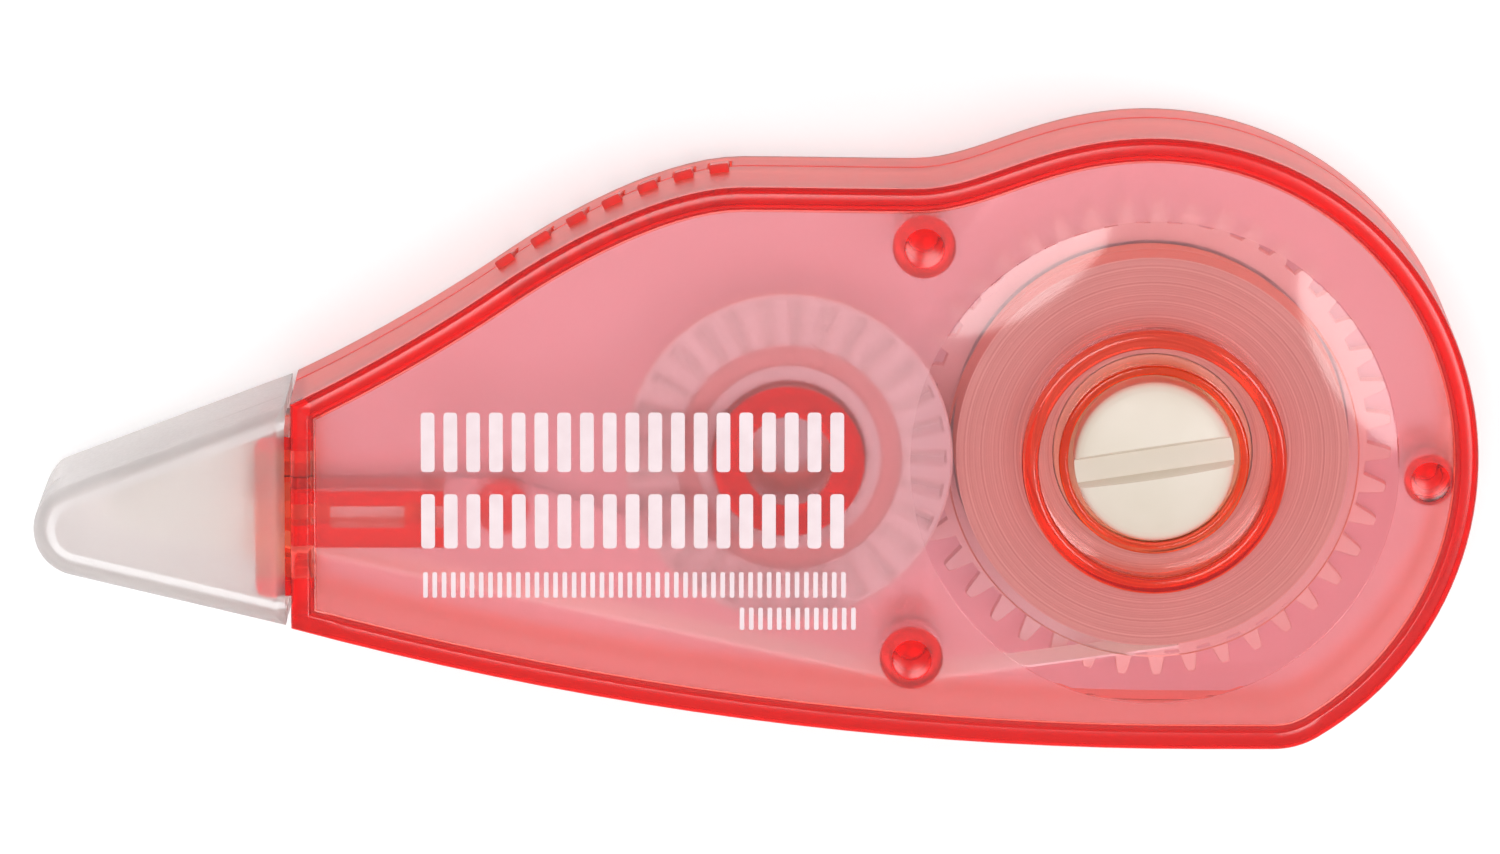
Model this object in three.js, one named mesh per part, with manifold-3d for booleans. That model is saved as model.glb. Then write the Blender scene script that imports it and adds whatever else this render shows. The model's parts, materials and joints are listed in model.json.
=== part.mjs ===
// Correction tape roller, in millimetres, lying on its back face with +Z up.
// +X runs from the nose to the round end, and the origin is at the centre of the base.
// Everything is drawn about the supply reel's axis, and the last group moves it to the origin.
import * as THREE from "three";
import { mergeVertices } from "three/addons/utils/BufferGeometryUtils.js";
import Module from "manifold-3d";

const wasm = await Module();
wasm.setup();

// Overall size and the supply axis in the part's own frame.
const THICKNESS = 13.0;
const SUPPLY_X = 23.2;
const SUPPLY_Y = -1.1;

// Casing: two shells that meet at a seam, each with a panel inside a raised rim.
const WALL = 1.1;
const PANEL = 1.1;
const RIM_RISE = 0.3;
const SEAM_Z = 4.2;
const SEAM_GAP = 0.2;
const NOSE_X = -50.2;
const NOSE_TOP = 3.5;
const NOSE_BOTTOM = -9.75;
const BELLY_X = 3.0;
const BELLY_Y = -16.9;
const LOBE = { x: -0.2, y: 0.1, r: 19.0 };
const CORNER_R = 5.0;
const FLOOR_Z = RIM_RISE + PANEL;
const CEILING_Z = THICKNESS - FLOOR_Z;

// Hub well round the knob, and the polished window round the well.
const WINDOW_R = 14.2;
const WINDOW_DEPTH = 0.15;
const HUB = { outer: 7.7, inner: 6.9, hole: 5.3, top: 12.9, floor: 10.95, under: 10.1 };

// Neck that the cap pushes over, with the mouth that the head stands in.
const NECK = { x: -52.3, top: 1.4, bottom: -8.0, low: 1.3, high: 11.7, corner: 0.8 };
const MOUTH = { top: 0.5, bottom: -7.0, low: 2.4, high: 10.6 };
const NECK_NUB = { x: -51.6, y: -2.6, width: 0.8, length: 3.4, rise: 0.25 };

// Gears: the supply gear drives the take-up gear.
const MODULE = 0.625;
const SUPPLY_TEETH = 43;
const TAKE_UP_TEETH = 25;
const TAKE_UP_X = (-MODULE * (SUPPLY_TEETH + TAKE_UP_TEETH)) / 2;
const GEAR_LOW = 1.7;
const GEAR_HIGH = 3.0;
const BARREL = { r: 3.2, top: 7.5 };

// Tape: five millimetres wide, wound on two cores.
const TAPE_LOW = 3.3;
const TAPE_HIGH = 8.3;
const WEB_THICKNESS = 0.12;
const WEB_GAP = 0.1;
const ROLL_R = 11.4;
const SUPPLY_CORE_R = 5.8;
const PACK_R = 6.3;
const TAKE_UP_CORE_R = 5.4;

// On the supply reel: the groove and rubber ring of the clutch, the clear disc and the knob.
const CORE_GROOVE = { x: 4.2, z: 5.0, half: 0.7 };
const CORE_SOCKET = { r: 4.0, low: 7.6 };
const CLUTCH = { x: 3.7, z: 5.0, r: 0.46, sides: 8 };
const FLANGE = { low: 8.5, high: 9.0, hole: 4.1, r: 12.0 };
const KNOB = { plug: 3.95, plugLow: 7.75, r: 4.65, low: 9.2, shoulder: 12.0, chamfer: 0.3, crown: 12.6 };
const KNOB_SLOT = { width: 1.55, depth: 1.0, angle: (8.5 * Math.PI) / 180 };

// On the take-up reel: the end of its core and the milky disc over it.
const TAKE_UP_CORE_TOP = 9.3;
const TAKE_UP_FLANGE = { low: 9.45, high: 10.2, r: 9.6 };

// Posts and pins that hold the shells together and guide the tape.
const PIN_POSTS = [
  { x: -13.4, y: 12.6, outer: 1.85, hole: 1.27, pin: 1.2 },
  { x: -14.1, y: -11.6, outer: 1.85, hole: 1.27, pin: 1.2 },
  { x: 16.0, y: -1.1, outer: 1.5, hole: 1.0, pin: 0.93 },
];
const POST_TOP = 8.6;
const PIN_LOW = 2.9;
const GUIDE_POST = { x: -38.0, y: -3.2, r: 1.6, top: 9.2 };
const SPINDLE = { r: 2.2, bore: 1.4, top: 7.2 };
const TAKE_UP_TUBE = { inner: 2.6, outer: 4.4, low: 1.7 };
const STUB = { r: 2.5, top: 3.8 };
const RUNNING = 0.06;
const POST_SIDES = 28;
const ROOT = 0.2;

// Rib box that grips the head's stem.
const RIBS = { left: -49.8, right: -41.3, low: 4.6, webLow: 9.6 };
const RIB_UPPER = [-2.65, -1.75];
const RIB_LOWER = [-5.1, -3.9];
const RIB_WEBS = [
  [-49.3, -47.9],
  [-43.6, -42.4],
];

// Finger grips on the upper side wall.
const GRIPS = { count: 7, first: -37.7, step: 2.07, length: 1.15, proud: 0.45 };
const GRIP_LOW = 2.2;
const GRIP_HIGH = 6.4;

// Cap over the nose.
const CAP = { base: -50.5, top: 3.38, bottom: -9.68, wall: 0.8, ledge: 8.4 };
const CAP_ROOM = { right: -49.5, top: 2.91, bottom: -9.1 };
const CAP_TIP = { x: -62.45, y: -4.0, r: 2.75 };
const CAP_BACK_TIP = { x: -63.6, y: -2.55, r: 0.95 };

// Applicator head: the wedge, its guide plates and the stem in the rib box.
const HEAD = { back: -52.7, tip: -61.2, tipY: -3.3, tipR: 0.3, wedgeTop: -1.75, wedgeBottom: -4.85 };
const PLATE = {
  top: 0.9,
  bottom: -6.2,
  end: -60.7,
  endTop: -1.5,
  endBottom: -4.5,
  corner: 0.6,
  thickness: 0.6,
  clearance: 0.15,
};
const STEM = { right: -41.9, low: -3.8, high: -2.75 };

const ROUND = 48;

// ---------------------------------------------------------------- solids from geometry

function solid(geometry) {
  geometry.deleteAttribute("normal");
  geometry.deleteAttribute("uv");
  const merged = mergeVertices(geometry, 1e-5);
  const index = merged.index.array;
  const kept = [];
  for (let i = 0; i < index.length; i += 3) {
    const [a, b, c] = [index[i], index[i + 1], index[i + 2]];
    if (a !== b && b !== c && c !== a) kept.push(a, b, c);
  }
  const vertProperties = merged.attributes.position.array;
  const triVerts = new Uint32Array(kept);
  return new wasm.Manifold(new wasm.Mesh({ numProp: 3, vertProperties, triVerts }));
}

// An outline pushed up from z = low to z = high.
function prism(points, low, high) {
  const shape = new THREE.Shape(points);
  const geometry = new THREE.ExtrudeGeometry(shape, {
    depth: high - low,
    bevelEnabled: false,
  });
  return solid(geometry.translate(0, 0, low));
}

// A closed [radius, z] profile turned about the vertical line through (x, y).
function turned(profile, x = 0, y = 0, segments = ROUND) {
  const points = profile.map(([r, z]) => new THREE.Vector2(r, z));
  const geometry = new THREE.LatheGeometry(points, segments);
  return solid(geometry.rotateX(Math.PI / 2).translate(x, y, 0));
}

function ring(inner, outer, low, high, x = 0, y = 0, segments = ROUND) {
  const profile = [
    [inner, low],
    [outer, low],
    [outer, high],
    [inner, high],
    [inner, low],
  ];
  return turned(profile, x, y, segments);
}

function disc(radius, low, high, x = 0, y = 0, segments = ROUND) {
  const geometry = new THREE.CylinderGeometry(radius, radius, high - low, segments);
  return solid(geometry.rotateX(Math.PI / 2).translate(x, y, (low + high) / 2));
}

function block(x0, x1, y0, y1, z0, z1) {
  const geometry = new THREE.BoxGeometry(x1 - x0, y1 - y0, z1 - z0);
  return solid(geometry.translate((x0 + x1) / 2, (y0 + y1) / 2, (z0 + z1) / 2));
}

function mesh(name, body, color, roughness, opacity = 1) {
  const { vertProperties, triVerts } = body.getMesh();
  const geometry = new THREE.BufferGeometry();
  geometry.setAttribute("position", new THREE.BufferAttribute(vertProperties, 3));
  geometry.setIndex(new THREE.BufferAttribute(triVerts, 1));
  geometry.computeVertexNormals();
  const material = new THREE.MeshStandardMaterial({
    color,
    roughness,
    metalness: 0,
    opacity,
    transparent: opacity < 1,
  });
  const made = new THREE.Mesh(geometry, material);
  made.name = name;
  return made;
}

// ---------------------------------------------------------------- outlines

function arc(x, y, r, from, to, steps) {
  const points = [];
  for (let i = 0; i <= steps; i++) {
    const angle = from + ((to - from) * i) / steps;
    points.push(new THREE.Vector2(x + r * Math.cos(angle), y + r * Math.sin(angle)));
  }
  return points;
}

// A smooth stretch between two points, with the direction and pull at each end.
function sweep(start, startPull, end, endPull, steps) {
  const curve = new THREE.CubicBezierCurve(
    new THREE.Vector2(...start),
    new THREE.Vector2(start[0] + startPull[0], start[1] + startPull[1]),
    new THREE.Vector2(end[0] - endPull[0], end[1] - endPull[1]),
    new THREE.Vector2(...end),
  );
  return curve.getPoints(steps);
}

function withoutRepeats(points) {
  return points.filter((p, i) => p.distanceTo(points.at(i - 1)) > 1e-3);
}

// The casing seen from the front, anticlockwise from the lower corner of the nose.
function casingOutline() {
  const run = BELLY_X - NOSE_X;
  const drop = NOSE_BOTTOM - BELLY_Y;
  const bellyR = (run * run + drop * drop) / (2 * drop);
  const bellyStart = -Math.PI / 2 - Math.asin(run / bellyR);
  const reach = LOBE.r - CORNER_R;
  const cornerY = BELLY_Y + CORNER_R;
  const cornerX = LOBE.x + Math.sqrt(reach ** 2 - (cornerY - LOBE.y) ** 2);
  const cornerEnd = Math.atan2(cornerY - LOBE.y, cornerX - LOBE.x);
  const lobeEnd = (96 * Math.PI) / 180;
  const crown = [LOBE.x + LOBE.r * Math.cos(lobeEnd), LOBE.y + LOBE.r * Math.sin(lobeEnd)];
  const dip = [-13.8, 16.15];
  const brow = [-24.0, 16.25];
  const slope = [-38.2, 10.4];
  const nose = [NOSE_X, NOSE_TOP];
  return withoutRepeats([
    ...arc(BELLY_X, BELLY_Y + bellyR, bellyR, bellyStart, -Math.PI / 2, 10),
    ...arc(cornerX, cornerY, CORNER_R, -Math.PI / 2, cornerEnd, 4),
    ...arc(LOBE.x, LOBE.y, LOBE.r, cornerEnd, 0, 12),
    ...arc(LOBE.x, LOBE.y, LOBE.r, 0, Math.PI / 2, 16),
    ...arc(LOBE.x, LOBE.y, LOBE.r, Math.PI / 2, lobeEnd, 1),
    ...sweep(crown, [-5.2, -0.54], dip, [-3.4, 0], 8),
    ...sweep(dip, [-3.4, 0], brow, [-3.4, 0], 5),
    ...sweep(brow, [-4.5, 0], slope, [-3.7, -2.55], 8),
    ...sweep(slope, [-3.3, -2.27], nose, [-3.6, -1.67], 7),
  ]);
}

// The same closed outline moved inwards, with mitred corners.
function inset(points, distance) {
  const count = points.length;
  return points.map((p, i) => {
    const before = p.clone().sub(points[(i + count - 1) % count]).normalize();
    const after = points[(i + 1) % count].clone().sub(p).normalize();
    const normal = new THREE.Vector2(-before.y - after.y, before.x + after.x).normalize();
    const spread = -normal.x * after.y + normal.y * after.x;
    return p.clone().addScaledVector(normal, distance / spread);
  });
}

// The line that runs tangent to circles in turn and round each of them.
// A circle's r is positive where the line turns anticlockwise round it.
function belt(circles, stepAngle = 0.25) {
  const tangents = [];
  for (let i = 0; i + 1 < circles.length; i++) {
    const [a, b] = [circles[i], circles[i + 1]];
    const away = Math.atan2(b.y - a.y, b.x - a.x);
    const turn = Math.asin((b.r - a.r) / Math.hypot(b.x - a.x, b.y - a.y));
    const angle = away - turn;
    const leave = new THREE.Vector2(a.x + a.r * Math.sin(angle), a.y - a.r * Math.cos(angle));
    const meet = new THREE.Vector2(b.x + b.r * Math.sin(angle), b.y - b.r * Math.cos(angle));
    tangents.push({ angle, leave, meet });
  }
  const points = [tangents[0].leave];
  for (let i = 1; i < circles.length - 1; i++) {
    const { x, y, r } = circles[i];
    const from = tangents[i - 1].angle;
    const turn = tangents[i].angle - from;
    const wrap = Math.atan2(Math.sin(turn), Math.cos(turn));
    const whole = r < 0 && wrap > 0.01 ? wrap - 2 * Math.PI : wrap;
    const steps = r === 0 ? 0 : Math.ceil(Math.abs(whole) / stepAngle);
    for (let k = 0; k <= steps; k++) {
      const angle = from + (steps ? (whole * k) / steps : 0);
      points.push(new THREE.Vector2(x + r * Math.sin(angle), y - r * Math.cos(angle)));
    }
  }
  points.push(tangents.at(-1).meet);
  return withoutRepeats(points);
}

function rectangle(x0, x1, y0, y1, corner) {
  const quarter = Math.PI / 2;
  return [
    ...arc(x0 + corner, y0 + corner, corner, 2 * quarter, 3 * quarter, 3),
    ...arc(x1 - corner, y0 + corner, corner, 3 * quarter, 4 * quarter, 3),
    ...arc(x1 - corner, y1 - corner, corner, 0, quarter, 3),
    ...arc(x0 + corner, y1 - corner, corner, quarter, 2 * quarter, 3),
  ];
}

// Teeth with straight flanks; the middle of one tooth points along the given angle.
function gearOutline(teeth, pointing) {
  const tip = (MODULE * (teeth + 2)) / 2;
  const root = (MODULE * (teeth - 2.5)) / 2;
  const pitch = (2 * Math.PI) / teeth;
  const rootHalf = 0.3 * pitch;
  const tipHalf = 0.13 * pitch;
  const points = [];
  for (let i = 0; i < teeth; i++) {
    const middle = pointing + i * pitch;
    const corners = [
      [root, middle - rootHalf],
      [tip, middle - tipHalf],
      [tip, middle + tipHalf],
      [root, middle + rootHalf],
    ];
    for (const [r, angle] of corners) {
      points.push(new THREE.Vector2(r * Math.cos(angle), r * Math.sin(angle)));
    }
  }
  return points;
}

// ---------------------------------------------------------------- casing

// One grip: a bar across the upper side wall, standing proud of it.
function gripBar(outline, index, slack) {
  const x = GRIPS.first + index * GRIPS.step;
  const top = outline.filter((p) => p.y > 0);
  const at = top.findIndex((p, i) => i > 0 && p.x <= x && top[i - 1].x > x);
  const [a, b] = [top[at - 1], top[at]];
  const along = b.clone().sub(a).normalize();
  const out = new THREE.Vector2(along.y, -along.x);
  const centre = a.clone().lerp(b, (x - a.x) / (b.x - a.x));
  const half = GRIPS.length / 2 + slack;
  const corner = (s, n) => centre.clone().addScaledVector(along, s).addScaledVector(out, n);
  const points = [
    corner(half, -WALL - slack),
    corner(-half, -WALL - slack),
    corner(-half, GRIPS.proud),
    corner(half, GRIPS.proud),
  ];
  const shape = THREE.ShapeUtils.isClockWise(points) ? points.reverse() : points;
  return prism(shape, GRIP_LOW - slack, GRIP_HIGH + slack);
}

// Both shells in one piece: panels, side wall, neck and hub well.
function closedCasing(outline) {
  const inside = inset(outline, WALL);
  const above = THICKNESS + 1;
  const neckOuter = rectangle(NECK.x, NOSE_X + 0.5, NECK.bottom, NECK.top, NECK.corner);
  const nubEnd = NECK_NUB.length / 2;
  const nubOuter = rectangle(
    NECK_NUB.x - NECK_NUB.width / 2,
    NECK_NUB.x + NECK_NUB.width / 2,
    NECK_NUB.y - nubEnd,
    NECK_NUB.y + nubEnd,
    NECK_NUB.width / 2 - 0.01,
  );
  const hubProfile = [
    [HUB.hole, HUB.under],
    [HUB.outer, HUB.under],
    [HUB.outer, HUB.top],
    [HUB.inner, HUB.top],
    [HUB.inner, HUB.floor],
    [HUB.hole, HUB.floor],
    [HUB.hole, HUB.under],
  ];
  return prism(outline, 0, THICKNESS)
    .subtract(prism(inside, FLOOR_Z, CEILING_Z))
    .subtract(prism(inside, -1, RIM_RISE))
    .subtract(prism(inside, THICKNESS - RIM_RISE, above))
    .subtract(disc(WINDOW_R, THICKNESS - RIM_RISE - WINDOW_DEPTH, above, 0, 0, 72))
    .subtract(disc((HUB.inner + HUB.outer) / 2, CEILING_Z - 1, above))
    .add(turned(hubProfile))
    .add(prism(neckOuter, NECK.low, NECK.high))
    .add(prism(nubOuter, NECK.high - 0.5, NECK.high + NECK_NUB.rise))
    .subtract(block(NECK.x - 1, NOSE_X + WALL + 0.5, MOUTH.bottom, MOUTH.top, MOUTH.low, MOUTH.high));
}

function frontCasing(outline, closed) {
  const away = 100;
  let shell = closed.intersect(
    block(-away, away, -away, away, SEAM_Z + SEAM_GAP / 2, THICKNESS + 1),
  );
  for (const { x, y, pin } of PIN_POSTS) {
    shell = shell.add(disc(pin, PIN_LOW, CEILING_Z + ROOT, x, y, POST_SIDES));
  }
  const { inner, outer, low: tubeLow } = TAKE_UP_TUBE;
  shell = shell.add(ring(inner, outer, tubeLow, CEILING_Z + ROOT, TAKE_UP_X));
  for (const [low, high] of [RIB_UPPER, RIB_LOWER]) {
    shell = shell.add(block(RIBS.left, RIBS.right, low, high, RIBS.low, CEILING_Z + ROOT));
  }
  const [webBottom, webTop] = [RIB_LOWER[0] + ROOT, RIB_UPPER[1] - ROOT];
  for (const [left, right] of RIB_WEBS) {
    shell = shell.add(block(left, right, webBottom, webTop, RIBS.webLow, CEILING_Z + ROOT));
  }
  for (let i = 0; i < GRIPS.count; i++) shell = shell.add(gripBar(outline, i, 0));
  return shell;
}

function backCasing(outline, closed) {
  const away = 100;
  let shell = closed.intersect(block(-away, away, -away, away, -1, SEAM_Z - SEAM_GAP / 2));
  for (let i = 0; i < GRIPS.count; i++) shell = shell.subtract(gripBar(outline, i, 0.15));
  for (const { x, y, outer, hole } of PIN_POSTS) {
    shell = shell
      .add(disc(outer, FLOOR_Z - ROOT, POST_TOP, x, y, POST_SIDES))
      .subtract(disc(hole, FLOOR_Z + 1, THICKNESS, x, y, POST_SIDES));
  }
  const { x, y, r, top } = GUIDE_POST;
  return shell
    .add(ring(SPINDLE.bore, SPINDLE.r, FLOOR_Z - ROOT, SPINDLE.top))
    .add(disc(STUB.r, FLOOR_Z - ROOT, STUB.top, TAKE_UP_X, 0, POST_SIDES))
    .add(disc(r, FLOOR_Z - ROOT, top, x, y, POST_SIDES));
}

// ---------------------------------------------------------------- cap and head

function capOutline(tips) {
  const top = { x: CAP.base, y: CAP.top, r: 0 };
  const bottom = { x: CAP.base, y: CAP.bottom, r: 0 };
  return belt([top, ...tips, bottom], 0.22);
}

function noseCap() {
  const front = capOutline([CAP_TIP]);
  const back = capOutline([CAP_BACK_TIP, CAP_TIP]);
  const room = belt([
    { x: CAP_ROOM.right, y: CAP_ROOM.top, r: 0 },
    { x: CAP_TIP.x, y: CAP_TIP.y, r: CAP_TIP.r - CAP.wall },
    { x: CAP_ROOM.right, y: CAP_ROOM.bottom, r: 0 },
  ]);
  return prism(back, 0, CAP.ledge)
    .add(prism(front, CAP.ledge - 0.5, THICKNESS))
    .subtract(prism(room, CAP.wall, THICKNESS - CAP.wall));
}

// A wedge that the tape runs round, between two guide plates, on a flat stem.
function applicatorHead() {
  const wedge = [
    new THREE.Vector2(HEAD.back, HEAD.wedgeTop),
    ...arc(HEAD.tip + HEAD.tipR, HEAD.tipY, HEAD.tipR, Math.PI / 2, (3 * Math.PI) / 2, 4),
    new THREE.Vector2(HEAD.back, HEAD.wedgeBottom),
  ];
  const plate = belt([
    { x: HEAD.back, y: PLATE.top, r: 0 },
    { x: PLATE.end + PLATE.corner, y: PLATE.endTop - PLATE.corner, r: PLATE.corner },
    { x: PLATE.end + PLATE.corner, y: PLATE.endBottom + PLATE.corner, r: PLATE.corner },
    { x: HEAD.back, y: PLATE.bottom, r: 0 },
  ]);
  const low = TAPE_LOW - PLATE.clearance;
  const high = TAPE_HIGH + PLATE.clearance;
  const [bottom, top] = [low - PLATE.thickness, high + PLATE.thickness];
  return prism(wedge, low - ROOT / 2, high + ROOT / 2)
    .add(prism(plate, bottom, low))
    .add(prism(plate, high, top))
    .add(block(HEAD.back - 0.5, STEM.right, STEM.low, STEM.high, bottom, top));
}

// ---------------------------------------------------------------- reels

function supplyGear() {
  return prism(gearOutline(SUPPLY_TEETH, Math.PI), GEAR_LOW, GEAR_HIGH)
    .subtract(disc(BARREL.r - ROOT, GEAR_LOW - 1, GEAR_HIGH + 1))
    .add(ring(SPINDLE.r + RUNNING, BARREL.r, GEAR_LOW, BARREL.top));
}

function tapeCore() {
  const bore = BARREL.r + RUNNING;
  const { x: grooveR, z, half } = CORE_GROOVE;
  const profile = [
    [bore, TAPE_LOW],
    [SUPPLY_CORE_R, TAPE_LOW],
    [SUPPLY_CORE_R, TAPE_HIGH],
    [CORE_SOCKET.r, TAPE_HIGH],
    [CORE_SOCKET.r, CORE_SOCKET.low],
    [bore, CORE_SOCKET.low],
    [bore, z + half],
    [grooveR, z + half],
    [grooveR, z - half],
    [bore, z - half],
    [bore, TAPE_LOW],
  ];
  return turned(profile);
}

function clutchRing() {
  const { x, z, r, sides } = CLUTCH;
  const points = [];
  for (let i = 0; i <= sides; i++) {
    const angle = (2 * Math.PI * (i % sides)) / sides;
    points.push([x + r * Math.cos(angle), z + r * Math.sin(angle)]);
  }
  return turned(points);
}

function tensionKnob() {
  const body = turned([
    [0, KNOB.plugLow],
    [KNOB.plug, KNOB.plugLow],
    [KNOB.plug, KNOB.low],
    [KNOB.r, KNOB.low],
    [KNOB.r, KNOB.shoulder],
    [KNOB.r - KNOB.chamfer, KNOB.shoulder + KNOB.chamfer],
    [0, KNOB.crown],
  ]);
  const slot = new THREE.BoxGeometry(3 * KNOB.r, KNOB_SLOT.width, 2 * KNOB_SLOT.depth);
  return body.subtract(solid(slot.rotateZ(KNOB_SLOT.angle).translate(0, 0, KNOB.crown)));
}

function takeUpGear() {
  const halfTooth = Math.PI / TAKE_UP_TEETH;
  return prism(gearOutline(TAKE_UP_TEETH, halfTooth), GEAR_LOW, GEAR_HIGH)
    .subtract(disc(TAKE_UP_CORE_R - ROOT, GEAR_LOW - 1, GEAR_HIGH + 1))
    .add(ring(TAKE_UP_TUBE.outer + RUNNING, TAKE_UP_CORE_R, GEAR_LOW, TAKE_UP_CORE_TOP))
    .translate([TAKE_UP_X, 0, 0]);
}

// The tape's run: off the roll, under a post, round the head and back to the take-up core.
function tapeWeb() {
  const stand = WEB_GAP + WEB_THICKNESS / 2;
  const lowerPost = PIN_POSTS[1];
  const middle = belt(
    [
      { x: 0, y: 0, r: -(ROLL_R + stand) },
      { x: lowerPost.x, y: lowerPost.y, r: -(lowerPost.outer + stand) },
      { x: HEAD.back, y: HEAD.wedgeBottom - 2 * stand, r: 0 },
      { x: HEAD.tip + HEAD.tipR, y: HEAD.tipY, r: -(HEAD.tipR + stand) },
      { x: HEAD.back, y: HEAD.wedgeTop + 2 * stand, r: 0 },
      { x: GUIDE_POST.x, y: GUIDE_POST.y, r: -(GUIDE_POST.r + stand) },
      { x: TAKE_UP_X, y: 0, r: PACK_R + stand },
    ],
    0.4,
  );
  const offset = (distance) =>
    middle.map((p, i) => {
      const before = middle[Math.max(i - 1, 0)];
      const after = middle[Math.min(i + 1, middle.length - 1)];
      const along = after.clone().sub(before).normalize();
      return p.clone().add(new THREE.Vector2(-along.y, along.x).multiplyScalar(distance));
    });
  const left = offset(WEB_THICKNESS / 2);
  const right = offset(-WEB_THICKNESS / 2);
  return prism([...right, ...left.reverse()], TAPE_LOW, TAPE_HIGH);
}

// ---------------------------------------------------------------- assembly

const RED = 0xd8555a;
const NATURAL = 0xf0e6e4;
const outline = casingOutline();
const closed = closedCasing(outline);

const about = new THREE.Group();
about.add(
  mesh("front_casing", frontCasing(outline, closed), RED, 0.3, 0.6),
  mesh("back_casing", backCasing(outline, closed), RED, 0.3, 0.6),
  mesh("nose_cap", noseCap(), 0xe6e2e0, 0.5, 0.5),
  mesh("applicator_head", applicatorHead(), 0xf4f0ea, 0.45),
  mesh("supply_gear", supplyGear(), NATURAL, 0.5),
  mesh("tape_core", tapeCore(), NATURAL, 0.5),
  mesh("clutch_ring", clutchRing(), 0x2c2a2a, 0.8),
  mesh("tape_roll", ring(SUPPLY_CORE_R + 0.05, ROLL_R, TAPE_LOW, TAPE_HIGH, 0, 0, 72), 0xf6f2ee, 0.7),
  mesh("supply_flange", ring(FLANGE.hole, FLANGE.r, FLANGE.low, FLANGE.high, 0, 0, 72), 0xeeeeee, 0.1, 0.4),
  mesh("tension_knob", tensionKnob(), 0xe6dccb, 0.35),
  mesh("take_up_gear", takeUpGear(), NATURAL, 0.5),
  mesh(
    "take_up_pack",
    ring(TAKE_UP_CORE_R + 0.05, PACK_R, TAPE_LOW, TAPE_HIGH, TAKE_UP_X, 0),
    0xe8e2dc,
    0.6,
  ),
  mesh(
    "take_up_flange",
    ring(TAKE_UP_TUBE.outer + RUNNING, TAKE_UP_FLANGE.r, TAKE_UP_FLANGE.low, TAKE_UP_FLANGE.high, TAKE_UP_X),
    NATURAL,
    0.5,
    0.7,
  ),
  mesh("tape_web", tapeWeb(), 0xf6f2ee, 0.6),
);
about.position.set(SUPPLY_X, SUPPLY_Y, 0);

const roller = new THREE.Group();
roller.add(about);

export default roller;
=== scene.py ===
"""Correction tape roller in translucent red plastic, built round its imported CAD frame."""

import json
import math

import bmesh
import bpy
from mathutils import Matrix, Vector


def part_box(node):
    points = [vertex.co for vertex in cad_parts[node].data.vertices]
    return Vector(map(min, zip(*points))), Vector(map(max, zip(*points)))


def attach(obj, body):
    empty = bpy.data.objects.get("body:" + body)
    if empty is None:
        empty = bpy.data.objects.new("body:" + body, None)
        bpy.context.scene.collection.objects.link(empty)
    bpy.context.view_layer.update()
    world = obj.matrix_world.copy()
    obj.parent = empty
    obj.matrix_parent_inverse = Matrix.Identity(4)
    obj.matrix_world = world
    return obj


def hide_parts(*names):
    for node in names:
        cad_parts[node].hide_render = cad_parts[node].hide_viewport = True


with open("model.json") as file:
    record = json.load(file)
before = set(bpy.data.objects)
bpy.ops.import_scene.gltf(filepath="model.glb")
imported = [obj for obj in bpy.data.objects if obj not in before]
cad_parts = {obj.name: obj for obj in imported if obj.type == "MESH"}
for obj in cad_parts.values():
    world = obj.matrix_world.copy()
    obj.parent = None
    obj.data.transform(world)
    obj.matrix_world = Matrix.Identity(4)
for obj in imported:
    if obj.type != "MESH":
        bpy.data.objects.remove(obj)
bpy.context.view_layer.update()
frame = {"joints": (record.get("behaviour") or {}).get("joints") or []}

# Shapes are drawn in millimetres about the axis of the supply reel, in the frame's directions.
MM = 0.001


def joint_axis(name):
    place = next(j["pos_m"] for j in frame["joints"] if j["name"] == name)
    return Vector((place[0], place[1], 0.0))


def levels(node):
    """The lowest and highest z of a CAD node, in millimetres."""
    low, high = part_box(node)
    return low.z / MM, high.z / MM


def radius(node):
    low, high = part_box(node)
    return (high.x - low.x) / 2 / MM


SUPPLY = joint_axis("supply_spin")
TAKE_UP = joint_axis("take_up_spin")
TAKE_UP_X = (TAKE_UP.x - SUPPLY.x) / MM

# The casing's levels. The front panel's face lies below the rim that frames it.
FRONT = levels("nose_cap")[1]
SEAM_BACK = 4.1
SEAM_FRONT = 4.3
WALL = 1.1
RIM_RISE = 0.3
FLOOR_Z = 1.4
CEILING_Z = FRONT - FLOOR_Z
PANEL_Z = FRONT - RIM_RISE

# How far pins, posts and ribs are sunk into the panel that carries them.
SUNK = 0.2

# The casing's outline: its nose, its belly, the round end about the supply reel, and its corner.
NOSE_X = -50.2
NOSE_TOP = 3.5
NOSE_BOTTOM = -9.75
BELLY = Vector((3.0, -16.9))
LOBE = Vector((-0.2, 0.1))
LOBE_R = 19.0
CORNER_R = 5.0

# The polished window: how far its edge is sunk into the panel, and how far it domes above that.
WINDOW_R = 14.2
WINDOW_STEP = 0.15
WINDOW_RISE = 0.25

# The hub well: a tall ring round a ledge, with a low collar at the ledge's inner edge.
HUB_FOOT = 10.1
HUB_R, HUB_INNER_R, HUB_TOP = 7.7, 6.75, 12.9
LEDGE_R, LEDGE_TOP = 5.3, 10.95
COLLAR_R, COLLAR_OUTER_R, COLLAR_TOP = 5.0, 5.55, 11.5

# The bearings of the reels, as inner radius, outer radius and the level they end at.
SPINDLE = (1.4, 2.2, 7.2)
TAKE_UP_TUBE = (2.6, 4.4, 1.7)
TAKE_UP_STUB = (2.0, 2.5, 3.8)

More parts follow.
